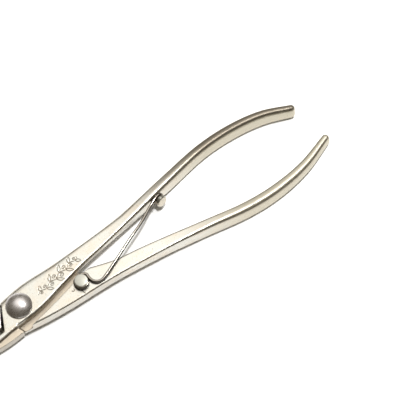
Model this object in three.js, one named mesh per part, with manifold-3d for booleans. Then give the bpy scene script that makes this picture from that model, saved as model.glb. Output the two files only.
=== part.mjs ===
// Sprung crucible tongs: two forged steel halves that cross in a lap joint, turn on one rivet,
// and are pushed open by a wire spring between a headed stud and a headed peg.
//
// Frame: millimetres. The origin is on the rivet's axis, on the surface that the tongs lie on.
// +X runs along the handles, +Z up through the rivet. The tongs are drawn open, at rest.

import * as THREE from 'three';
import { mergeVertices } from 'three/addons/utils/BufferGeometryUtils.js';
import Module from 'manifold-3d';

// ---------------------------------------------------------------- driving dimensions

const REACH = 400;                    // larger than the tongs in every direction
const GAP = 0.3;                      // clearance between neighbouring pieces
const CLOSING_ANGLE = 4.5;            // degrees that the handles close from rest

const MID_Z = 5.2;                    // the joint and the jaws are centred on this height
const JOINT_THICKNESS = 6.6;          // both layers of the lap joint together
const JOINT_TOP = MID_Z + JOINT_THICKNESS / 2;
const JOINT_BOTTOM = MID_Z - JOINT_THICKNESS / 2;

const RIVET = {
  shankRadius: 3,
  headRadius: 5.5,
  headRim: 0.5,
  headDome: 2.1,
  headClearance: 0.2,
  tailRadius: 4.6,
  tailChamfer: 0.4,
};

const STUD = {
  x: 26.4,
  y: -6.2,
  neckRadius: 1.7,
  headRadius: 2.85,
  headThickness: 1.1,
  headDome: 0.15,
  headEdge: 0.3,
};

const PEG = {
  alongHandle: 74,                    // X of its centre line at the handle's inner face
  strap: 4.6,                         // thickness of the handle that it passes through
  neckRadius: 1.3,
  neckLength: 2.2,
  headRadius: 2.6,
  headThickness: 1.5,
  headDome: 0.1,
  headEdge: 0.4,
};

const WIRE_DIAMETER = 1.3;
const WIRE_RADIUS = WIRE_DIAMETER / 2;

const JAW_TOOTH = { count: 6, pitch: 1.4, depth: 0.45, firstFromTip: -0.4, tall: 12 };

// Stations along each bar, from the free end to the joint: centre x, y, z, then width, height.
// The upper handle leaves the joint as a thin bar and deepens downwards on its way to the grip.
const UPPER_HANDLE = [
  [147.4, 11, 3.85, 3.4, 6],
  [134.8, 15.7, 3.85, 3.9, 6.8],
  [120, 17.8, 3.85, 4.2, 6.9],
  [103.3, 17.4, 3.85, 4.4, 6.7],
  [81.8, 13.3, 4.1, 4.9, 6.6],
  [65.9, 10.1, 5.2, 5.6, 5.5],
  [53.8, 7.8, 6.15, 6.1, 4.7],
  [41.4, 5.9, 6.65, 7.1, 3.7],
  [29.8, 4.5, 6.35, 8.6, 4.3],
  [18.3, 3, MID_Z, 11.4, JOINT_THICKNESS],
  [6, 1.3, MID_Z, 14.4, JOINT_THICKNESS],
  [-6, -0.4, MID_Z, 13.6, JOINT_THICKNESS],
  [-14, -1.7, MID_Z, 13, JOINT_THICKNESS],
];

const LOWER_HANDLE = [
  [151.2, -9, 3.85, 3.3, 4.8],
  [135.2, -14.6, 3.85, 4.2, 5.6],
  [118.3, -17.1, 3.85, 4.7, 6.4],
  [103, -16.8, 3.95, 4.8, 6.8],
  [84.8, -14.1, 4.35, 4.9, 7.2],
  [67, -11.4, 4.8, 5.7, 7],
  [55, -9.9, 5.1, 6.5, 6.8],
  [43, -8.6, MID_Z, 7.2, JOINT_THICKNESS],
  [32, -6.9, MID_Z, 10, JOINT_THICKNESS],
  [20, -4.9, MID_Z, 13.8, JOINT_THICKNESS],
  [8, -3.3, MID_Z, 15.6, JOINT_THICKNESS],
  [-4, -2.1, MID_Z, 15.4, JOINT_THICKNESS],
  [-17, -1.4, MID_Z, 15.4, JOINT_THICKNESS],
];

// Towards the grips both handles twist the same way, so that their tops lean towards +Y:
// degrees, and the X range over which that happens.
const UPPER_TWIST = { degrees: 17, from: 40, to: 84 };
const LOWER_TWIST = { degrees: 14, from: 46, to: 112 };
const NO_TWIST = { degrees: 0, from: REACH, to: 2 * REACH };

// Rounding of a bar's edges, each at the joint and at the grip. Left and right are as seen from
// the bar's free end, and under is for both lower edges.
const UPPER_EDGES = { left: [0.9, 2], right: [3, 1.2], under: [1.4, 1.4] };
const LOWER_EDGES = { left: [0.8, 2.2], right: [0.9, 1.1], under: [1.9, 1.4] };
const JAW_EDGES = { left: [2, 2], right: [0.9, 0.9], under: [0.9, 0.9] };
const SHARP = { left: [0, 0], right: [0, 0], under: [0, 0] };

// The bowed part of a jaw, from the tip inwards, written for the +Y side; the other is its mirror.
const JAW = [
  [-75.6, 5.2, MID_Z, 4, 5.4],
  [-69, 6.6, MID_Z, 4.8, 6],
  [-61, 12.2, MID_Z, 4.6, 5.4],
  [-50, 16.4, MID_Z, 4.6, 5.2],
  [-38, 14.8, MID_Z, 4.8, 5.4],
  [-26, 9.4, MID_Z, 5, 5.8],
];

// Where each jaw joins its lap plate: a slim arm on the upper half, a broad root on the lower.
const UPPER_ROOT = [
  [-20, -8.1, MID_Z, 4.4, 6.2],
  [-15, -8.3, MID_Z, 4.8, JOINT_THICKNESS],
  [-10, -8, MID_Z, 5.2, JOINT_THICKNESS],
  [-4, -6.7, MID_Z, 6.6, JOINT_THICKNESS],
  [2, -5.6, MID_Z, 7, JOINT_THICKNESS],
];

const LOWER_ROOT = [
  [-20, 5.6, MID_Z, 6.4, 6.2],
  [-15, 3, MID_Z, 9.8, JOINT_THICKNESS],
  [-11.5, 1.7, MID_Z, 12.2, JOINT_THICKNESS],
  [-7, 1.4, MID_Z, 12.4, JOINT_THICKNESS],
  [-2, 1, MID_Z, 12, JOINT_THICKNESS],
];

// Each lap plate ends in a slanted shoulder, through this point and at this angle to the X axis.
const SHOULDER = { x: -8, y: 0, angle: 65.5 };

// The lower half is cut back along here, so that the upper plate has room to swing:
// centre x, y, z, then width.
const SWING_ROOM = [
  [31.2, 0.6, MID_Z, 5],
  [15, -4, MID_Z, 5],
  [1.9, -7, MID_Z, 5],
  [-9, -9.6, MID_Z, 5],
];

// A ledge steps down along the outer side of the upper half's slim arm: centre x, y, z, then width.
const LEDGE_Z = 6.5;
const LEDGE = [
  [-20.5, -11.3, MID_Z, 4.6],
  [-14, -10.7, MID_Z, 4.8],
  [-7.5, -9.8, MID_Z, 5],
  [2, -9.1, MID_Z, 5],
];

const STEEL = { color: 0xd9d0bd, roughness: 0.32, metalness: 1 };
const RIVET_STEEL = { color: 0xa9a6a6, roughness: 0.22, metalness: 1 };
const SPRING_STEEL = { color: 0xcac6c0, roughness: 0.18, metalness: 1 };

// ---------------------------------------------------------------- solids

const wasm = await Module();
wasm.setup();

function toSolid(geometry) {
  const bare = geometry.clone();
  bare.deleteAttribute('normal');
  bare.deleteAttribute('uv');
  const merged = mergeVertices(bare, 1e-5);
  return new wasm.Manifold(new wasm.Mesh({
    numProp: 3,
    vertProperties: new Float32Array(merged.attributes.position.array),
    triVerts: new Uint32Array(merged.index.array),
  }));
}

// The largest body of a solid: the cuts can leave slivers loose.
function toGeometry(solid) {
  const [body] = solid.decompose().sort((a, b) => b.volume() - a.volume());
  const mesh = body.getMesh();
  const geometry = new THREE.BufferGeometry();
  geometry.setAttribute('position', new THREE.BufferAttribute(mesh.vertProperties, mesh.numProp));
  geometry.setIndex(new THREE.BufferAttribute(mesh.triVerts, 1));
  return geometry;
}

function sumOf(solids) {
  return solids.reduce((whole, solid) => whole.add(solid));
}

function placed(geometry, x, y, z, turn = 0) {
  geometry.rotateZ(turn);
  geometry.translate(x, y, z);
  return geometry;
}

// A hole's cutter, standing at x, y and far taller than the tongs.
function drill(radius, x, y) {
  const geometry = new THREE.CylinderGeometry(radius, radius, REACH, 40);
  geometry.rotateX(Math.PI / 2);
  return toSolid(placed(geometry, x, y, 0));
}

function below(z) {
  return toSolid(placed(new THREE.BoxGeometry(REACH, REACH, REACH), 0, 0, z - REACH / 2));
}

function above(z) {
  return toSolid(placed(new THREE.BoxGeometry(REACH, REACH, REACH), 0, 0, z + REACH / 2));
}

// ---------------------------------------------------------------- forged bars

const CORNER_STEPS = 4;               // facets in each rounded corner of a section
const END_STEPS = 4;                  // rings that round off a free end
const LEAST_FLAT = 0.05;              // half the flat that a rounded side keeps

// A rectangle, [across, up] about its centre, with its corners rounded.
function sectionPoints(width, height, { left, right, under }) {
  const points = [];
  const quarters = [[1, -1], [1, 1], [-1, 1], [-1, -1]];
  quarters.forEach(([across, up], quarter) => {
    const upperRadius = across > 0 ? left : right;
    const radius = up > 0 ? upperRadius : under;
    const corner = Math.min(radius, width / 2 - LEAST_FLAT, height / 2 - LEAST_FLAT);
    const steps = radius ? CORNER_STEPS : 0;
    for (let step = 0; step <= steps; step++) {
      const angle = (quarter - 1 + (steps && step / steps)) * Math.PI / 2;
      points.push([
        across * (width / 2 - corner) + corner * Math.cos(angle),
        up * (height / 2 - corner) + corner * Math.sin(angle),
      ]);
    }
  });
  return points;
}

function pathOf(stations) {
  return new THREE.CatmullRomCurve3(
    stations.map(([x, y, z]) => new THREE.Vector3(x, y, z)), false, 'centripetal');
}

// How a bar stands at a point of its path: its centre, and which way is along, left and up.
function standAt(path, t, twist) {
  const centre = path.getPoint(t);
  const along = path.getTangent(t);
  const share = THREE.MathUtils.smoothstep(centre.x, twist.from, twist.to);
  const lean = THREE.MathUtils.degToRad(twist.degrees * share);
  const left = new THREE.Vector3(-along.y, along.x, 0).normalize().applyAxisAngle(along, lean);
  const up = new THREE.Vector3().crossVectors(along, left);
  return { centre, along, left, up, share };
}

// A bar that follows its stations, with its first end rounded and its last end flat.
function forgedBar({ stations, edges, twist }, samples) {
  const path = pathOf(stations);
  const sizes = new THREE.CatmullRomCurve3(
    stations.map(([, , , width, height]) => new THREE.Vector3(width, height, 0)),
    false, 'catmullrom', 0.5);
  const rings = [];
  const addRing = (t, scale, ahead) => {
    const { centre, along, left, up, share } = standAt(path, t, twist);
    const size = sizes.getPoint(t);
    const radii = Object.fromEntries(Object.entries(edges).map(([edge, [atJoint, atGrip]]) => (
      [edge, THREE.MathUtils.lerp(atJoint, atGrip, share) * scale])));
    centre.addScaledVector(along, -ahead * size.x / 2);
    const section = sectionPoints(size.x * scale, size.y - size.x * (1 - scale), radii);
    rings.push(section.map(([across, rise]) => (
      centre.clone().addScaledVector(left, across).addScaledVector(up, rise))));
  };
  for (let step = 0; step < END_STEPS; step++) {
    const angle = Math.PI / 2 * (1 - (step + 0.5) / (END_STEPS + 0.5));
    addRing(0, Math.cos(angle), Math.sin(angle));
  }
  for (let sample = 0; sample <= samples; sample++) {
    addRing(sample / samples, 1, 0);
  }
  return loft(rings);
}

// A closed skin over rings of points, each ring clockwise as seen from the ring before it.
function loft(rings) {
  const size = rings[0].length;
  const positions = rings.flat().flatMap((point) => point.toArray());
  const index = [];
  const next = (side) => (side + 1) % size;
  for (let ring = 0; ring < rings.length - 1; ring++) {
    for (let side = 0; side < size; side++) {
      const a = ring * size + side;
      const b = ring * size + next(side);
      index.push(a, b, a + size, b, b + size, a + size);
    }
  }
  const addCentre = (ring) => {
    const middle = ring.reduce((sum, point) => sum.add(point), new THREE.Vector3());
    positions.push(...middle.divideScalar(size).toArray());
    return positions.length / 3 - 1;
  };
  const firstCentre = addCentre(rings[0]);
  const lastCentre = addCentre(rings[rings.length - 1]);
  const lastRing = (rings.length - 1) * size;
  for (let side = 0; side < size; side++) {
    index.push(firstCentre, next(side), side);
    index.push(lastCentre, lastRing + side, lastRing + next(side));
  }
  const geometry = new THREE.BufferGeometry();
  geometry.setAttribute('position', new THREE.Float32BufferAttribute(positions, 3));
  geometry.setIndex(index);
  return toSolid(geometry);
}

// ---------------------------------------------------------------- the two halves, uncut

const HANDLE_SAMPLES = 64;
const JAW_SAMPLES = 40;

// Each half has a handle bar and a jaw bar. Its side is +1 for the upper half, whose handle is at
// +Y and whose jaw is at -Y, and -1 for the lower half.
const UPPER = {
  side: 1,
  handle: { stations: UPPER_HANDLE, edges: UPPER_EDGES, twist: UPPER_TWIST },
  jaw: {
    stations: [...JAW.map(mirrored), ...UPPER_ROOT],
    edges: { left: JAW_EDGES.right, right: JAW_EDGES.left, under: JAW_EDGES.under },
    twist: NO_TWIST,
  },
};
const LOWER = {
  side: -1,
  handle: { stations: LOWER_HANDLE, edges: LOWER_EDGES, twist: LOWER_TWIST },
  jaw: { stations: [...JAW, ...LOWER_ROOT], edges: JAW_EDGES, twist: NO_TWIST },
};

function mirrored([x, y, ...rest]) {
  return [x, -y, ...rest];
}

// Everything on the handles' side of a half's shoulder, with the shoulder moved out by grow.
function handleSide(side, grow) {
  const slant = THREE.MathUtils.degToRad(SHOULDER.angle - 90) * side;
  const box = new THREE.BoxGeometry(REACH, REACH, REACH).translate(REACH / 2 - grow, 0, 0);
  return toSolid(placed(box, SHOULDER.x, SHOULDER.y, 0, slant));
}

function blank({ side, handle, jaw }) {
  const plate = forgedBar(handle, HANDLE_SAMPLES).intersect(handleSide(side, 0));
  const arm = forgedBar(jaw, JAW_SAMPLES).subtract(handleSide(-side, GAP));
  return plate.add(arm);
}

// ---------------------------------------------------------------- the lap joint

const TALL = 40;                      // height of a straight-sided bar that goes right through

function straightSided(stations, grow, samples) {
  const tall = stations.map(([x, y, , width]) => [x, y, MID_Z, width + 2 * grow, TALL]);
  return forgedBar({ stations: tall, edges: SHARP, twist: NO_TWIST }, samples);
}

// The ground that a half covers, with clearance all round, as a tall straight-sided block.
function footprint({ side, handle, jaw }) {
  const plate = straightSided(handle.stations, GAP, HANDLE_SAMPLES)
    .intersect(handleSide(side, GAP));
  const arm = straightSided(jaw.stations, GAP, JAW_SAMPLES).subtract(handleSide(-side, 0));
  return plate.add(arm);
}

// What a half sweeps, seen from the other, while the tongs close.
function swept(ground, turn) {
  return sumOf([0, 0.5, 1].map((share) => ground.rotate([0, 0, turn * share])));
}

const LAP_UNDER = MID_Z - GAP / 2;    // top of the lower half's layer
const LAP_OVER = MID_Z + GAP / 2;     // bottom of the upper half's layer
const CUT_SAMPLES = 16;

const upperRelief = swept(footprint(LOWER), CLOSING_ANGLE).intersect(below(LAP_OVER));
const lowerRelief = swept(footprint(UPPER), -CLOSING_ANGLE)
  .add(straightSided(SWING_ROOM, 0, CUT_SAMPLES))
  .intersect(above(LAP_UNDER));
const rivetBore = drill(RIVET.shankRadius + GAP, 0, 0);
const studBore = drill(STUD.neckRadius + GAP, STUD.x, STUD.y);
const ledge = straightSided(LEDGE, 0, CUT_SAMPLES).intersect(above(LEDGE_Z));

// ---------------------------------------------------------------- pieces

function pivotRivet() {
  const { shankRadius, headRadius, headRim, headDome, headClearance } = RIVET;
  const { tailRadius, tailChamfer } = RIVET;
  const headBottom = JOINT_TOP + headClearance;
  const domeSteps = 8;
  const sphere = (headRadius ** 2 + headDome ** 2) / (2 * headDome);
  const reach = Math.asin(headRadius / sphere);
  const dome = [];
  for (let step = 0; step <= domeSteps; step++) {
    const angle = reach * (1 - step / domeSteps);
    const rise = sphere * Math.cos(angle) - (sphere - headDome);
    dome.push(new THREE.Vector2(sphere * Math.sin(angle), headBottom + headRim + rise));
  }
  dome[domeSteps].x = 0;
  const tailTop = JOINT_BOTTOM - GAP;
  const profile = [
    new THREE.Vector2(0, 0),
    new THREE.Vector2(tailRadius - tailChamfer, 0),
    new THREE.Vector2(tailRadius, tailChamfer),
    new THREE.Vector2(tailRadius, tailTop),
    new THREE.Vector2(shankRadius, tailTop),
    new THREE.Vector2(shankRadius, headBottom),
    new THREE.Vector2(headRadius, headBottom),
    ...dome,
  ];
  return new THREE.LatheGeometry(profile, 48).rotateX(Math.PI / 2);
}

function springStud() {
  const { x, y, neckRadius, headRadius, headThickness, headDome, headEdge } = STUD;
  const headBottom = JOINT_TOP + WIRE_DIAMETER + 2 * GAP;
  const headTop = headBottom + headThickness;
  const profile = [
    new THREE.Vector2(0, JOINT_BOTTOM),
    new THREE.Vector2(neckRadius, JOINT_BOTTOM),
    new THREE.Vector2(neckRadius, headBottom),
    new THREE.Vector2(headRadius, headBottom),
    new THREE.Vector2(headRadius, headTop - headEdge),
    new THREE.Vector2(headRadius - headEdge, headTop),
    new THREE.Vector2(headRadius / 2, headTop + headDome * 3 / 4),
    new THREE.Vector2(0, headTop + headDome),
  ];
  return placed(new THREE.LatheGeometry(profile, 32).rotateX(Math.PI / 2), x, y, 0);
}

// ---- where the peg stands on the upper handle

const handlePath = pathOf(UPPER_HANDLE);

function stationAt(x) {
  let low = 0;
  let high = 1;
  while (high - low > 1e-6) {
    const middle = (low + high) / 2;
    if (handlePath.getPoint(middle).x > x) {
      low = middle;
    } else {
      high = middle;
    }
  }
  return standAt(handlePath, low, UPPER_TWIST);
}

const pegStation = stationAt(PEG.alongHandle);
const pegOut = pegStation.left;
const pegFace = pegStation.centre.clone().addScaledVector(pegOut, PEG.strap / 2);

// Turns a shape drawn along +Z so that it stands out of the handle's inner face.
function onPegFace(geometry) {
  geometry.applyQuaternion(
    new THREE.Quaternion().setFromUnitVectors(new THREE.Vector3(0, 0, 1), pegOut));
  geometry.translate(pegFace.x, pegFace.y, pegFace.z);
  return geometry;
}

function springPeg() {
  const { strap, neckRadius, neckLength, headRadius, headThickness, headDome, headEdge } = PEG;
  const headTop = neckLength + headThickness;
  const profile = [
    new THREE.Vector2(0, -strap),
    new THREE.Vector2(neckRadius, -strap),
    new THREE.Vector2(neckRadius, neckLength),
    new THREE.Vector2(headRadius, neckLength),
    new THREE.Vector2(headRadius, headTop - headEdge),
    new THREE.Vector2(headRadius - headEdge, headTop),
    new THREE.Vector2(0, headTop + headDome),
  ];
  return onPegFace(new THREE.LatheGeometry(profile, 28).rotateX(Math.PI / 2));
}

// ---- the wire spring: an eye round the stud, a U bend, a long leg, an eye round the peg

const WIRE_Z = JOINT_TOP + GAP + WIRE_RADIUS;
const WIRE_SIDES = 8;
const WIRE_STEPS = 150;
const EYE_STEP = 30;                  // degrees between the points of an eye

function studEye() {
  const radius = STUD.neckRadius + GAP + WIRE_RADIUS;
  const points = [];
  for (let turn = 360; turn >= 90; turn -= EYE_STEP) {
    const angle = THREE.MathUtils.degToRad(turn);
    points.push(new THREE.Vector3(
      STUD.x + radius * Math.cos(angle), STUD.y + radius * Math.sin(angle), WIRE_Z));
  }
  return points;
}

function pegEye() {
  const radius = PEG.neckRadius + GAP + WIRE_RADIUS;
  const centre = pegFace.clone().addScaledVector(pegOut, PEG.neckLength / 2);
  const points = [];
  for (let turn = 0; turn <= 270; turn += EYE_STEP) {
    const angle = THREE.MathUtils.degToRad(turn);
    points.push(centre.clone()
      .addScaledVector(pegStation.along, -radius * Math.sin(angle))
      .addScaledVector(pegStation.up, radius * Math.cos(angle)));
  }
  return points;
}

// The free stretch between the two eyes, as x, y, z.
const WIRE_LEG = [
  [28.6, -3.45, WIRE_Z],
  [29.95, -4.4, WIRE_Z],
  [30.05, -6.2, WIRE_Z],
  [31, -8.9, WIRE_Z],
  [33.5, -10.2, WIRE_Z],
  [36.4, -9.4, WIRE_Z],
  [42.1, -6.9, WIRE_Z],
  [53, -1.8, WIRE_Z - 0.1],
  [63.2, 3, WIRE_Z - 0.9],
  [69.2, 6.6, WIRE_Z - 1.7],
];

function springWire() {
  const route = [
    ...studEye(),
    ...WIRE_LEG.map(([x, y, z]) => new THREE.Vector3(x, y, z)),
    ...pegEye(),
  ];
  const ring = new THREE.Shape();
  ring.absarc(0, 0, WIRE_RADIUS, 0, Math.PI * 2);
  const outline = new THREE.Shape(ring.getPoints(WIRE_SIDES).slice(0, WIRE_SIDES));
  return new THREE.ExtrudeGeometry(outline, {
    steps: WIRE_STEPS,
    extrudePath: new THREE.CatmullRomCurve3(route, false, 'centripetal'),
  });
}

// ---- small cuts in the halves

function pegBore() {
  const radius = PEG.neckRadius + GAP;
  const bore = new THREE.CylinderGeometry(radius, radius, 2 * PEG.strap, 28);
  bore.rotateX(Math.PI / 2);
  bore.translate(0, 0, -PEG.strap / 2);
  return toSolid(onPegFace(bore));
}

// Cross-grooves in the inner face of a jaw's tip, so that it doesn't slip.
function jawTeeth(side) {
  const [tipX, tipY, , tipWidth] = JAW[0];
  const { count, pitch, depth, firstFromTip, tall } = JAW_TOOTH;
  const grooveSide = depth * Math.SQRT2;
  const grooves = [];
  for (let tooth = 0; tooth < count; tooth++) {
    const groove = new THREE.BoxGeometry(grooveSide, grooveSide, tall).rotateZ(Math.PI / 4);
    const x = tipX + firstFromTip + tooth * pitch;
    grooves.push(toSolid(placed(groove, x, -side * (tipY - tipWidth / 2), MID_Z)));
  }
  return sumOf(grooves);
}

function upperHalf() {
  return toGeometry(blank(UPPER)
    .subtract(upperRelief)
    .subtract(ledge)
    .subtract(rivetBore)
    .subtract(pegBore())
    .subtract(jawTeeth(UPPER.side)));
}

function lowerHalf() {
  return toGeometry(blank(LOWER)
    .subtract(lowerRelief)
    .subtract(rivetBore)
    .subtract(studBore)
    .subtract(jawTeeth(LOWER.side)));
}

// ---------------------------------------------------------------- the assembly

function piece(name, geometry, finish) {
  const mesh = new THREE.Mesh(geometry, new THREE.MeshStandardMaterial(finish));
  mesh.name = name;
  return mesh;
}

const tongs = new THREE.Group();
tongs.add(
  piece('lower_half', lowerHalf(), STEEL),
  piece('upper_half', upperHalf(), STEEL),
  piece('pivot_rivet', pivotRivet(), RIVET_STEEL),
  piece('spring_stud', springStud(), STEEL),
  piece('spring_peg', springPeg(), STEEL),
  piece('spring_wire', springWire(), SPRING_STEEL),
);

export default tongs;
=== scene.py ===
import math

import bmesh
import bpy
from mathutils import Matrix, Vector
from mathutils.kdtree import KDTree


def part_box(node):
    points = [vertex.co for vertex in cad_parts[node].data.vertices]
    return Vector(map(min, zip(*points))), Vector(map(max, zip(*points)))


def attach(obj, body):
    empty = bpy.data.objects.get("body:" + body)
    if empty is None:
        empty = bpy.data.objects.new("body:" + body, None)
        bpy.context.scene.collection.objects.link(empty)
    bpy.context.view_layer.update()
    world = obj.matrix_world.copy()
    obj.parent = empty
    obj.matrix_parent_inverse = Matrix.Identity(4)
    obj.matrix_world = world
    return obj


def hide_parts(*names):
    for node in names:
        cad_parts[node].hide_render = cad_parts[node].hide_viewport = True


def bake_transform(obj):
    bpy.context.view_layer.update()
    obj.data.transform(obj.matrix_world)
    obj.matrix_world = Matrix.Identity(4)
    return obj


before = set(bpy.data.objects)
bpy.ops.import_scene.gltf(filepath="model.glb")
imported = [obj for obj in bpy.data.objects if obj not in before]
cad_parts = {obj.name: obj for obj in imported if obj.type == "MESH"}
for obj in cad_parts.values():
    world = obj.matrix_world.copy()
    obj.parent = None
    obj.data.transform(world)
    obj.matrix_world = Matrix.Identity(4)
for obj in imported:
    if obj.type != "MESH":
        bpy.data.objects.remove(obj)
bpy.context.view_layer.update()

MM = 0.001

# ---------------------------------------------------------------- camera

IMAGE_SIDE = 400                       # the picture is square, in pixels
SENSOR_MM = 36.0
CAMERA_DISTANCE = 0.6
CAMERA_ELEVATION = math.radians(64)
CAMERA_HEADING = math.radians(35.2)    # turned from +Y towards +X
AIM = Vector((0.0905, 0.0001, 0.0))
METRES_PER_PIXEL = 0.00043             # at the aim point


def add_camera():
    data = bpy.data.cameras.new("camera")
    data.sensor_width = SENSOR_MM
    data.lens = SENSOR_MM * CAMERA_DISTANCE / (METRES_PER_PIXEL * IMAGE_SIDE)
    data.clip_start = 0.01
    camera = bpy.data.objects.new("camera", data)
    bpy.context.scene.collection.objects.link(camera)
    forward = Vector((math.sin(CAMERA_HEADING) * math.cos(CAMERA_ELEVATION),
                      math.cos(CAMERA_HEADING) * math.cos(CAMERA_ELEVATION),
                      -math.sin(CAMERA_ELEVATION)))
    camera.location = AIM - forward * CAMERA_DISTANCE
    camera.rotation_euler = forward.to_track_quat("-Z", "Y").to_euler()
    bpy.context.scene.camera = camera


# ---------------------------------------------------------------- node helpers

def new_material(name):
    material = bpy.data.materials.new(name)
    material.use_nodes = True
    tree = material.node_tree
    return material, tree, tree.nodes["Principled BSDF"]


def add_node(tree, kind, **inputs):
    """A shader node; inputs are set by name, and a socket given as a value is linked."""
    node = tree.nodes.new(kind)
    for name, value in inputs.items():
        feed(tree, node.inputs[name.replace("_", " ")], value)
    return node


def feed(tree, socket, value):
    if isinstance(value, bpy.types.NodeSocket):
        tree.links.new(value, socket)
    else:
        socket.default_value = value


def ramp(tree, factor, stops):
    """A colour ramp; stops are (position, grey or colour)."""
    node = add_node(tree, "ShaderNodeValToRGB", Fac=factor)
    elements = node.color_ramp.elements
    while len(elements) < len(stops):
        elements.new(0.5)
    for element, (position, colour) in zip(elements, stops):
        element.position = position
        element.color = colour if isinstance(colour, tuple) else (colour, colour, colour, 1)
    return node.outputs["Color"]


def object_place(tree, scale):
    """Object coordinates, stretched along each axis."""
    place = tree.nodes.new("ShaderNodeTexCoord").outputs["Object"]
    return add_node(tree, "ShaderNodeMapping", Vector=place, Scale=scale).outputs["Vector"]


def noise_value(tree, scale, size=1.0, detail=3.0):
    """Noise in 0 to 1, its grain size / scale metres along each axis."""
    place = object_place(tree, scale)
    return add_node(tree, "ShaderNodeTexNoise", Vector=place, Scale=size,
                    Detail=detail).outputs["Fac"]


def math_node(tree, operation, first, second):
    node = tree.nodes.new("ShaderNodeMath")
    node.operation = operation
    feed(tree, node.inputs[0], first)
    feed(tree, node.inputs[1], second)
    return node.outputs[0]


def mix_colour(tree, factor, first, second):
    node = tree.nodes.new("ShaderNodeMix")
    node.data_type = "RGBA"
    feed(tree, node.inputs[0], factor)
    feed(tree, node.inputs[6], first)
    feed(tree, node.inputs[7], second)
    return node.outputs[2]


def bump(tree, height, distance, strength, under=None):
    node = add_node(tree, "ShaderNodeBump", Height=height, Distance=distance, Strength=strength)
    if under:
        tree.links.new(under, node.inputs["Normal"])
    return node.outputs["Normal"]


def coordinates(tree, output):
    """The x, y and z sockets of one of the object's texture coordinates."""
    place = tree.nodes.new("ShaderNodeTexCoord").outputs[output]
    return add_node(tree, "ShaderNodeSeparateXYZ", Vector=place).outputs


def between(tree, value, low, high, soft):
    """One where the value lies between low and high, and zero outside, with soft edges."""
    rise = soft_step(tree, value, low - soft, low)
    fall = soft_step(tree, value, high, high + soft)
    return math_node(tree, "SUBTRACT", rise, fall)


def soft_step(tree, value, start, end):
    node = add_node(tree, "ShaderNodeMapRange", Value=value)
    node.inputs["From Min"].default_value = start
    node.inputs["From Max"].default_value = end
    return node.outputs["Result"]


# ---------------------------------------------------------------- materials

BARE_NICKEL = (0.61, 0.6, 0.55, 1)
WARM_NICKEL = (0.62, 0.57, 0.49, 1)
# Painted shade: a darker, olive nickel along the grips, for their dimmer reflection.
GRIP_SHADED_NICKEL = (0.53, 0.495, 0.405, 1)
# Painted shade for the upward facets of the grips.
GRIP_TOP_SHADE = (0.2, 0.175, 0.14, 1)
# Painted reflection: a tan tone for the joint's low flats, in the shade of the walls above
# them, and for the upright sides of the stud and the peg.
PAINTED_TAN_REFLECTION = (0.66, 0.58, 0.47, 1)
# Dark brown: grime in the engraved grooves and pits, and painted shade on the upright walls
# inside the joint.
GRIME_AND_SHADE = (0.17, 0.13, 0.085, 1)
RIVET_DARK = (0.6, 0.57, 0.56, 1)
RIVET_LIGHT = (0.74, 0.71, 0.7, 1)
RIVET_STAIN = (0.38, 0.34, 0.32, 1)
STUD_DARK = (0.4, 0.395, 0.35, 1)
STUD_LIGHT = (0.51, 0.505, 0.45, 1)
WIRE_DARK = (0.38, 0.345, 0.3, 1)
WIRE_LIGHT = (0.52, 0.48, 0.43, 1)
# Painted shade for the wire's sides and underside.
WIRE_PAINTED_SHADE = (0.13, 0.115, 0.1, 1)
PALE_FLOOR = (0.93, 0.93, 0.93, 1)
PALER_FLOOR = (0.95, 0.95, 0.95, 1)

# Where the joint and the grips lie along X, and the height of the joint's lower flats.
JOINT_START = -24 * MM
JOINT_END = 42 * MM
GRIP_START = 72 * MM
GRIP_FULL = 104 * MM
LOW_FLATS_BOTTOM = 4.6 * MM
LOW_FLATS_TOP = 7.2 * MM

NICKEL_ROUGHNESS = 0.2
BRUSHED_ROUGHNESS = 0.16               # added where the brushing is strongest
WORN_ROUGHNESS = 0.2                   # added where the plate is worn dull
GRIP_WEAR = 0.5


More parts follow.
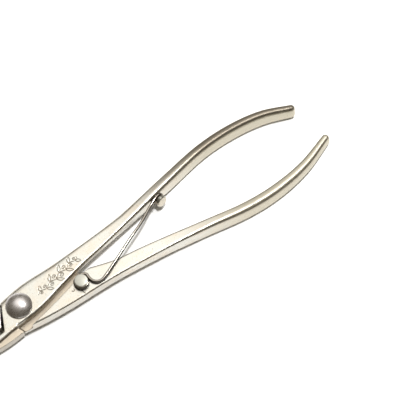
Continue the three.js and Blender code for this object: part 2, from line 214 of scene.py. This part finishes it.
def nickel_material(name, wall_shade, grip_top_shade):
    """Warm nickel plate, brushed across the handles, rougher on the joint's low flats and along
    the grips, with grime in the engraved grooves and pits. Painted shade: a tan tone on the
    joint's low flats, darkened upright walls inside the joint, a darker olive nickel along the
    grips, and darker upward facets on the grips."""
    material, tree, shader = new_material(name)
    x, _, z = coordinates(tree, "Object")
    upward = coordinates(tree, "Normal")[2]
    brushing = noise_value(tree, (5200, 500, 700))
    patches = noise_value(tree, (170, 260, 260))
    pits = noise_value(tree, (2300, 2300, 2300), detail=1.0)

    plate = mix_colour(tree, ramp(tree, patches, [(0.4, 0.0), (0.68, 1.0)]),
                       BARE_NICKEL, WARM_NICKEL)
    # Painted shade: the nickel turns darker and more olive along the grips; the grips are also
    # rougher.
    toward_grips = soft_step(tree, x, GRIP_START, GRIP_FULL)
    plate = mix_colour(tree, toward_grips, plate, GRIP_SHADED_NICKEL)
    in_joint = between(tree, x, JOINT_START, JOINT_END, 2 * MM)
    low_flats = between(tree, z, LOW_FLATS_BOTTOM, LOW_FLATS_TOP, 0.5 * MM)
    low_level = math_node(tree, "MULTIPLY", in_joint, low_flats)
    flat = soft_step(tree, upward, 0.7, 0.9)
    # Painted shade: the upward facets of the grips are darkened, on the upper half only.
    grip_tops = math_node(tree, "MULTIPLY", toward_grips, flat)
    grip_top_shading = math_node(tree, "MULTIPLY", grip_tops, grip_top_shade)
    plate = mix_colour(tree, grip_top_shading, plate, GRIP_TOP_SHADE)
    # Painted shade: the upward flats low in the joint take a tan tone; they are also rougher.
    tinted_dull_flats = math_node(tree, "MULTIPLY", low_level, flat)
    colour = mix_colour(tree, tinted_dull_flats, plate, PAINTED_TAN_REFLECTION)
    # Painted shade: the upright walls inside the joint are darkened towards dark brown, more on
    # the upper half.
    upright = between(tree, upward, -0.3, 0.3, 0.3)
    walls = math_node(tree, "MULTIPLY", in_joint, upright)
    colour = mix_colour(tree, math_node(tree, "MULTIPLY", walls, wall_shade), colour, GRIME_AND_SHADE)
    engraved = tree.nodes.new("ShaderNodeAttribute")
    engraved.attribute_name = ENGRAVED
    dirt = math_node(tree, "MAXIMUM", engraved.outputs["Fac"],
                     ramp(tree, pits, [(0.25, 0.8), (0.31, 0.0)]))
    colour = mix_colour(tree, dirt, colour, GRIME_AND_SHADE)
    feed(tree, shader.inputs["Base Color"], colour)
    shader.inputs["Metallic"].default_value = 1.0

    brushed = math_node(tree, "MULTIPLY", brushing, BRUSHED_ROUGHNESS)
    rough = math_node(tree, "ADD", brushed, NICKEL_ROUGHNESS)
    worn = math_node(tree, "MAXIMUM", tinted_dull_flats, math_node(tree, "MULTIPLY", toward_grips, GRIP_WEAR))
    rough = math_node(tree, "ADD", rough, math_node(tree, "MULTIPLY", worn, WORN_ROUGHNESS))
    feed(tree, shader.inputs["Roughness"], rough)
    normal = bump(tree, brushing, 0.04 * MM, 0.5)
    normal = bump(tree, pits, 0.03 * MM, 0.35, normal)
    feed(tree, shader.inputs["Normal"], normal)
    return material


def rivet_material():
    """Neutral grey polished steel with light scuffs."""
    material, tree, shader = new_material("rivet_steel")
    scuffs = noise_value(tree, (900, 2400, 900))
    stains = noise_value(tree, (330, 330, 330))
    colour = mix_colour(tree, scuffs, RIVET_DARK, RIVET_LIGHT)
    stained = ramp(tree, stains, [(0.55, 0.0), (0.75, 0.5)])
    colour = mix_colour(tree, stained, colour, RIVET_STAIN)
    feed(tree, shader.inputs["Base Color"], colour)
    shader.inputs["Metallic"].default_value = 1.0
    feed(tree, shader.inputs["Roughness"], ramp(tree, scuffs, [(0.3, 0.24), (0.7, 0.36)]))
    feed(tree, shader.inputs["Normal"], bump(tree, scuffs, 0.03 * MM, 0.3))
    return material


def stud_material():
    """Pale nickel, rubbed dull, for the stud and the peg, with a painted tan reflection on
    their upright sides.
    """
    material, tree, shader = new_material("stud_nickel")
    rubs = noise_value(tree, (1300, 1300, 1300))
    colour = mix_colour(tree, rubs, STUD_DARK, STUD_LIGHT)
    # Painted reflection: the upright sides are mixed halfway towards tan.
    sides = between(tree, coordinates(tree, "Normal")[2], -0.4, 0.4, 0.3)
    colour = mix_colour(tree, math_node(tree, "MULTIPLY", sides, 0.5), colour, PAINTED_TAN_REFLECTION)
    feed(tree, shader.inputs["Base Color"], colour)
    shader.inputs["Metallic"].default_value = 1.0
    feed(tree, shader.inputs["Roughness"], ramp(tree, rubs, [(0.3, 0.26), (0.7, 0.42)]))
    feed(tree, shader.inputs["Normal"], bump(tree, rubs, 0.03 * MM, 0.3))
    return material


def spring_material():
    """Drawn wire with faint draw lines, and painted shade that darkens its sides and underside,
    leaving a bright strip along its top.
    """
    material, tree, shader = new_material("spring_steel")
    streaks = noise_value(tree, (700, 700, 3000))
    upward = coordinates(tree, "Normal")[2]
    streaked = mix_colour(tree, streaks, WIRE_DARK, WIRE_LIGHT)
    # Painted shade: all but the strip that faces nearly straight up is darkened.
    colour = mix_colour(tree, soft_step(tree, upward, 0.75, 0.98), WIRE_PAINTED_SHADE, streaked)
    feed(tree, shader.inputs["Base Color"], colour)
    shader.inputs["Metallic"].default_value = 1.0
    feed(tree, shader.inputs["Roughness"], ramp(tree, streaks, [(0.3, 0.12), (0.7, 0.22)]))
    feed(tree, shader.inputs["Normal"], bump(tree, streaks, 0.02 * MM, 0.3))
    return material


def floor_material():
    """A plain pale surface."""
    material, tree, shader = new_material("floor")
    mottle = noise_value(tree, (3, 3, 3))
    feed(tree, shader.inputs["Base Color"], mix_colour(tree, mottle, PALE_FLOOR, PALER_FLOOR))
    shader.inputs["Roughness"].default_value = 0.9
    return material


# ---------------------------------------------------------------- studio

FLOOR_HALF = 3.0
STUDIO_CENTRE = Vector((0.04, 0, 0))
OVERHEAD = Vector((0.05, -0.08, 1))
OVERHEAD_SIZE = 0.16
OVERHEAD_POWER = 10
KEY_TOWARDS = Vector((0.384, 0.043, 0.922))
KEY_SIZE = 0.16
KEY_POWER = 3.6
LIGHT_DISTANCE = 1.1
TENT_TOP = Vector((0.28, 0.4, 0.87))   # the middle of the bright cloth
BRIGHT_CLOTH = (1, 0.98, 0.94, 1)
DIM_CLOTH = (0.2, 0.185, 0.16, 1)
DARK_ROOM = (0.085, 0.075, 0.06, 1)
TENT_STRENGTH = 1.65


def add_floor():
    mesh = bpy.data.meshes.new("floor")
    corners = [(-FLOOR_HALF, -FLOOR_HALF, 0), (FLOOR_HALF, -FLOOR_HALF, 0),
               (FLOOR_HALF, FLOOR_HALF, 0), (-FLOOR_HALF, FLOOR_HALF, 0)]
    mesh.from_pydata(corners, [], [(0, 1, 2, 3)])
    mesh.materials.append(floor_material())
    floor = bpy.data.objects.new("floor", mesh)
    bpy.context.scene.collection.objects.link(floor)


def add_softbox(name, towards, size, power, reflected):
    """A round light that faces the tongs; one that isn't reflected only lights the floor."""
    data = bpy.data.lights.new(name, "AREA")
    data.shape = "DISK"
    data.size = size
    data.energy = power
    light = bpy.data.objects.new(name, data)
    bpy.context.scene.collection.objects.link(light)
    light.location = STUDIO_CENTRE + towards.normalized() * LIGHT_DISTANCE
    light.rotation_euler = (-towards).to_track_quat("-Z", "Y").to_euler()
    light.visible_glossy = reflected


def add_world():
    """A white tent that is open, and so dark, towards the viewer and low down."""
    world = bpy.data.worlds.new("tent")
    bpy.context.scene.world = world
    world.use_nodes = True
    tree = world.node_tree
    direction = tree.nodes.new("ShaderNodeTexCoord").outputs["Generated"]
    nearness = tree.nodes.new("ShaderNodeVectorMath")
    nearness.operation = "DOT_PRODUCT"
    feed(tree, nearness.inputs[0], direction)
    nearness.inputs[1].default_value = TENT_TOP.normalized()
    tent = ramp(tree, nearness.outputs["Value"],
                [(0.0, DARK_ROOM), (0.45, DARK_ROOM), (0.82, DIM_CLOTH), (0.97, BRIGHT_CLOTH)])
    background = tree.nodes["Background"]
    tree.links.new(tent, background.inputs["Color"])
    background.inputs["Strength"].default_value = TENT_STRENGTH


def add_studio():
    bpy.context.scene.view_settings.view_transform = "Standard"
    add_floor()
    add_world()
    add_softbox("overhead", OVERHEAD, OVERHEAD_SIZE, OVERHEAD_POWER, reflected=False)
    add_softbox("key", KEY_TOWARDS, KEY_SIZE, KEY_POWER, reflected=True)


# ---------------------------------------------------------------- shaping

VOXEL = 0.25 * MM
PEG_VOXEL = 0.1 * MM
SMOOTHING = 8                          # rounds of smoothing after the remesh


def new_piece(name, mesh):
    piece = bpy.data.objects.new(name, mesh)
    bpy.context.scene.collection.objects.link(piece)
    return piece


def apply_modifiers(piece):
    graph = bpy.context.evaluated_depsgraph_get()
    mesh = bpy.data.meshes.new_from_object(piece.evaluated_get(graph))
    piece.modifiers.clear()
    piece.data = mesh


def smooth_shaded(piece):
    for polygon in piece.data.polygons:
        polygon.use_smooth = True


def refined(node, voxel):
    """A fine copy of a CAD node, its facets and edges softened."""
    source = bpy.data.objects[node]
    piece = new_piece("fine_" + node, source.data.copy())
    piece.data.transform(source.matrix_world)
    remesh = piece.modifiers.new("remesh", "REMESH")
    remesh.mode = "VOXEL"
    remesh.voxel_size = voxel
    smooth = piece.modifiers.new("smooth", "SMOOTH")
    smooth.factor = 0.5
    smooth.iterations = SMOOTHING
    apply_modifiers(piece)
    smooth_shaded(piece)
    return piece


def finish_piece(piece, node, body, material):
    """Puts the material on a piece that stands for a CAD node, and ties it to its body."""
    piece.data.materials.clear()
    piece.data.materials.append(material)
    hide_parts(node)
    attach(piece, body)


# ---------------------------------------------------------------- engraving

ENGRAVED = "engraved"                  # how deep a point lies in a groove, 0 to 1
GROOVE_HALF_WIDTH = 0.19 * MM
GROOVE_DEPTH = 0.1 * MM
STROKE_STEP = 0.05 * MM
PLATE_TOP = 8.5 * MM


def filled(stroke):
    """Closely spaced points along a stroke of plan points, on the top of the plates."""
    points = []
    for start, end in zip(stroke, stroke[1:]):
        steps = max(1, math.ceil((end - start).length / STROKE_STEP))
        points += [start.lerp(end, step / steps) for step in range(steps)]
    return [point.to_3d() + Vector((0, 0, PLATE_TOP)) for point in points]


def engrave(piece, strokes):
    """Sinks strokes into the flat top of a piece, and marks the grooves."""
    points = [point for stroke in strokes for point in filled(stroke)]
    near = KDTree(len(points))
    for index, point in enumerate(points):
        near.insert(point, index)
    near.balance()
    shape = bmesh.new()
    shape.from_mesh(piece.data)
    edges = {edge for face in shape.faces
             if near.find(face.calc_center_median())[2] < 2 * VOXEL for edge in face.edges}
    bmesh.ops.subdivide_edges(shape, edges=list(edges), cuts=2, use_grid_fill=True)
    mark = shape.verts.layers.float.new(ENGRAVED)
    for vertex in shape.verts:
        distance = near.find(vertex.co)[2]
        if distance < GROOVE_HALF_WIDTH:
            share = (1 + math.cos(math.pi * distance / GROOVE_HALF_WIDTH)) / 2
            vertex[mark] = share
            vertex.co.z -= GROOVE_DEPTH * share
    shape.to_mesh(piece.data)
    shape.free()
    smooth_shaded(piece)


# ---- a leaf scroll along the upper plate

SCROLL_START = Vector((9.2, -0.4)) * MM
SCROLL_END = Vector((31, 4.8)) * MM
SCROLL_SPROUTS = 8
STEM_STEPS = 80
STEM_SWAY = 0.55 * MM
SMALLEST_SPROUT = 0.65                 # at the ends of the scroll
SPROUT_SWELL = 0.5                     # added in its middle
VOLUTE_RADIUS = 0.95 * MM
VOLUTE_TURNS = 1.4
VOLUTE_CLOSING = 0.8                   # the share of the radius lost on the way in
VOLUTE_STEPS = 24
VOLUTE_STANDOFF = 1.3                  # from the stem, in radii
LEAF_LENGTH = 3.2 * MM
LEAF_HALF_WIDTH = 0.6 * MM
LEAF_LEAN = math.radians(50)
LEAF_STEPS = 10


def volute(centre, radius, start, hand):
    """A spiral that closes in on its centre; hand is 1 or -1."""
    stroke = []
    for step in range(VOLUTE_STEPS + 1):
        share = step / VOLUTE_STEPS
        angle = start + hand * share * VOLUTE_TURNS * math.tau
        reach = radius * (1 - VOLUTE_CLOSING * share)
        stroke.append(centre + reach * Vector((math.cos(angle), math.sin(angle))))
    return stroke


def leaf(base, heading, length):
    """Both sides of a pointed leaf."""
    ahead = Vector((math.cos(heading), math.sin(heading)))
    aside = Vector((-ahead.y, ahead.x))
    shares = [step / LEAF_STEPS for step in range(LEAF_STEPS + 1)]
    return [[base + ahead * length * share
             + aside * side * LEAF_HALF_WIDTH * math.sin(math.pi * share) for share in shares]
            for side in (-1, 1)]


def leaf_scroll():
    """A swaying stem with a volute and a leaf on alternate sides."""
    run = SCROLL_END - SCROLL_START
    lean = math.atan2(run.y, run.x)
    across = Vector((-run.y, run.x)).normalized()

    def on_stem(share):
        sway = STEM_SWAY * math.sin(share * SCROLL_SPROUTS * math.pi)
        return SCROLL_START + run * share + across * sway

    strokes = [[on_stem(step / STEM_STEPS) for step in range(STEM_STEPS + 1)]]
    for sprout in range(SCROLL_SPROUTS):
        share = (sprout + 0.5) / SCROLL_SPROUTS
        side = 1 if sprout % 2 else -1
        size = SMALLEST_SPROUT + SPROUT_SWELL * math.sin(math.pi * share)
        radius = VOLUTE_RADIUS * size
        foot = on_stem(share)
        strokes.append(volute(foot + across * side * radius * VOLUTE_STANDOFF, radius,
                              lean - side * math.pi / 2, side))
        strokes += leaf(foot, lean - side * LEAF_LEAN, LEAF_LENGTH * size)
    return strokes


# ---- small marks on the lower plate

PUNCH_CENTRE = Vector((21.8, -6.9)) * MM
PUNCH_RADIUS = 0.55 * MM
PUNCH_START = 150                      # degrees
PUNCH_STEP = 24
PUNCH_STEPS = 10
HAIRLINE = [Vector((24.7, -8.6)) * MM, Vector((25.2, -11)) * MM]


def punch_mark():
    """A small ring, open on one side."""
    angles = [math.radians(PUNCH_START + PUNCH_STEP * step) for step in range(PUNCH_STEPS + 1)]
    return [PUNCH_CENTRE + PUNCH_RADIUS * Vector((math.cos(angle), math.sin(angle)))
            for angle in angles]


# ---------------------------------------------------------------- turned pieces

TURNED_SIDES = 96


def rounded(corners, radius, steps=5):
    """An outline of (distance, height) corners with its inner corners rounded off."""
    points = [Vector(corners[0])]
    for before, corner, after in zip(corners, corners[1:], corners[2:]):
        before, corner, after = Vector(before), Vector(corner), Vector(after)
        reach = min(radius, (before - corner).length / 2, (after - corner).length / 2)
        start = corner + (before - corner).normalized() * reach
        end = corner + (after - corner).normalized() * reach
        for step in range(steps + 1):
            share = step / steps
            points.append(start.lerp(corner, share).lerp(corner.lerp(end, share), share))
    points.append(Vector(corners[-1]))
    return points


def turned(name, outline, centre):
    """A solid of revolution about a vertical axis; the outline starts and ends on it."""
    shape = bmesh.new()
    rings = []
    for distance, height in outline:
        if distance < 1e-7:
            rings.append([shape.verts.new((centre.x, centre.y, height))])
            continue
        rings.append([shape.verts.new((
            centre.x + distance * math.cos(math.tau * side / TURNED_SIDES),
            centre.y + distance * math.sin(math.tau * side / TURNED_SIDES),
            height)) for side in range(TURNED_SIDES)])
    for lower, upper in zip(rings, rings[1:]):
        for side in range(TURNED_SIDES):
            following = (side + 1) % TURNED_SIDES
            corners = [lower[side % len(lower)], lower[following % len(lower)],
                       upper[following % len(upper)], upper[side % len(upper)]]
            shape.faces.new(list(dict.fromkeys(corners)))
    bmesh.ops.recalc_face_normals(shape, faces=shape.faces)
    mesh = bpy.data.meshes.new(name)
    shape.to_mesh(mesh)
    shape.free()
    piece = new_piece(name, mesh)
    smooth_shaded(piece)
    return piece


def box_middle(node):
    low, high = (Vector(corner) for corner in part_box(node))
    return (low + high) / 2, low, high


RIVET_SHANK = 3 * MM
RIVET_HEAD_BOTTOM = 8.7 * MM
RIVET_RIM = 0.5 * MM
RIVET_TAIL = 4.6 * MM
RIVET_TAIL_TOP = 1.6 * MM
RIVET_EDGE = 0.3 * MM
DOME_STEPS = 20


def pivot_rivet():
    middle, low, high = box_middle("pivot_rivet")
    head = (high.x - low.x) / 2
    rim_top = RIVET_HEAD_BOTTOM + RIVET_RIM
    corners = [(0, low.z), (RIVET_TAIL, low.z), (RIVET_TAIL, RIVET_TAIL_TOP),
               (RIVET_SHANK, RIVET_TAIL_TOP), (RIVET_SHANK, RIVET_HEAD_BOTTOM),
               (head, RIVET_HEAD_BOTTOM), (head, rim_top)]
    rise = high.z - rim_top
    sphere = (head ** 2 + rise ** 2) / (2 * rise)
    reach = math.asin(head / sphere)
    dome = []
    for step in range(1, DOME_STEPS):
        angle = reach * (1 - step / DOME_STEPS)
        dome.append(Vector((sphere * math.sin(angle), high.z - sphere * (1 - math.cos(angle)))))
    outline = rounded(corners, RIVET_EDGE) + dome + [Vector((0, high.z))]
    return turned("domed_rivet", outline, middle)


STUD_NECK = 1.7 * MM
STUD_HEAD_BOTTOM = 10.4 * MM
STUD_DOME = 0.15 * MM
STUD_EDGE = 0.35 * MM


def spring_stud():
    middle, low, high = box_middle("spring_stud")
    head = (high.x - low.x) / 2
    corners = [(0, low.z), (STUD_NECK, low.z), (STUD_NECK, STUD_HEAD_BOTTOM),
               (head, STUD_HEAD_BOTTOM), (head, high.z - STUD_DOME), (0, high.z)]
    return turned("headed_stud", rounded(corners, STUD_EDGE), middle)


# ---------------------------------------------------------------- the wire spring
# Lengths here are in millimetres, and are turned into metres where they are used.

WIRE_RADIUS = 0.65
WIRE_Z = 9.45
STUD_EYE_CENTRE = Vector((26.4, -6.2, WIRE_Z))
STUD_EYE_RADIUS = 2.65
STUD_EYE_TURNS = (360, 90)             # degrees, from the wire's end to its free stretch
PEG_FACE = Vector((74.49, 9.56, 5.15))
PEG_OUT = Vector((0.211, -0.944, 0.254))
PEG_ALONG = Vector((-0.977, -0.199, 0.073))
PEG_EYE_OFFSET = 1.1
PEG_EYE_RADIUS = 2.25
PEG_EYE_TURN = 270                     # degrees
EYE_STEP = 30

# The free stretch between the two eyes.
WIRE_LEG = [
    (28.6, -3.45, 9.45), (29.95, -4.4, 9.45), (30.05, -6.2, 9.45), (31, -8.9, 9.45),
    (33.5, -10.2, 9.45), (36.4, -9.4, 9.45), (42.1, -6.9, 9.45), (53, -1.8, 9.35),
    (63.2, 3, 8.55), (69.2, 6.6, 7.75),
]


def wire_route():
    """Points along the wire: round the stud, along the free stretch, and round the peg."""
    route = []
    for turn in range(STUD_EYE_TURNS[0], STUD_EYE_TURNS[1] - 1, -EYE_STEP):
        angle = math.radians(turn)
        route.append(STUD_EYE_CENTRE
                     + STUD_EYE_RADIUS * Vector((math.cos(angle), math.sin(angle), 0)))
    route += [Vector(point) for point in WIRE_LEG]
    peg_up = PEG_ALONG.cross(PEG_OUT)
    peg_eye = PEG_FACE + PEG_OUT * PEG_EYE_OFFSET
    for turn in range(0, PEG_EYE_TURN + 1, EYE_STEP):
        angle = math.radians(turn)
        route.append(peg_eye + PEG_EYE_RADIUS * (peg_up * math.cos(angle)
                                                 - PEG_ALONG * math.sin(angle)))
    return [point * MM for point in route]


def spring_wire():
    """A round wire along a smooth curve through the route."""
    route = wire_route()
    curve = bpy.data.curves.new("wire", "CURVE")
    curve.dimensions = "3D"
    curve.bevel_depth = WIRE_RADIUS * MM
    curve.bevel_resolution = 5
    curve.resolution_u = 10
    curve.use_fill_caps = True
    spline = curve.splines.new("BEZIER")
    spline.bezier_points.add(len(route) - 1)
    for knot, place in zip(spline.bezier_points, route):
        knot.co = place
        knot.handle_left_type = "AUTO"
        knot.handle_right_type = "AUTO"
    piece = new_piece("bent_wire", curve)
    graph = bpy.context.evaluated_depsgraph_get()
    mesh = bpy.data.meshes.new_from_object(piece.evaluated_get(graph))
    bpy.data.objects.remove(piece)
    wire = new_piece("wire_spring", mesh)
    smooth_shaded(wire)
    return wire


# ---------------------------------------------------------------- the tongs

def add_tongs():
    # The upper half gets more painted shade on its joint walls, and painted shade on its grip
    # tops.
    lightly_shaded_nickel = nickel_material("nickel_plate", 0.15, 0.0)
    heavily_shaded_nickel = nickel_material("nickel_plate_shaded", 0.52, 0.95)

    lower = refined("lower_half", VOXEL)
    engrave(lower, [punch_mark(), HAIRLINE])
    finish_piece(lower, "lower_half", "lower", lightly_shaded_nickel)

    upper = refined("upper_half", VOXEL)
    engrave(upper, leaf_scroll())
    finish_piece(upper, "upper_half", "upper", heavily_shaded_nickel)

    finish_piece(pivot_rivet(), "pivot_rivet", "lower", rivet_material())
    stud_nickel = stud_material()
    finish_piece(spring_stud(), "spring_stud", "lower", stud_nickel)
    peg = refined("spring_peg", PEG_VOXEL)
    finish_piece(peg, "spring_peg", "upper", stud_nickel)

    wire = spring_wire()
    wire.data.materials.append(spring_material())
    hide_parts("spring_wire")
    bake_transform(wire)


add_camera()
add_studio()
add_tongs()
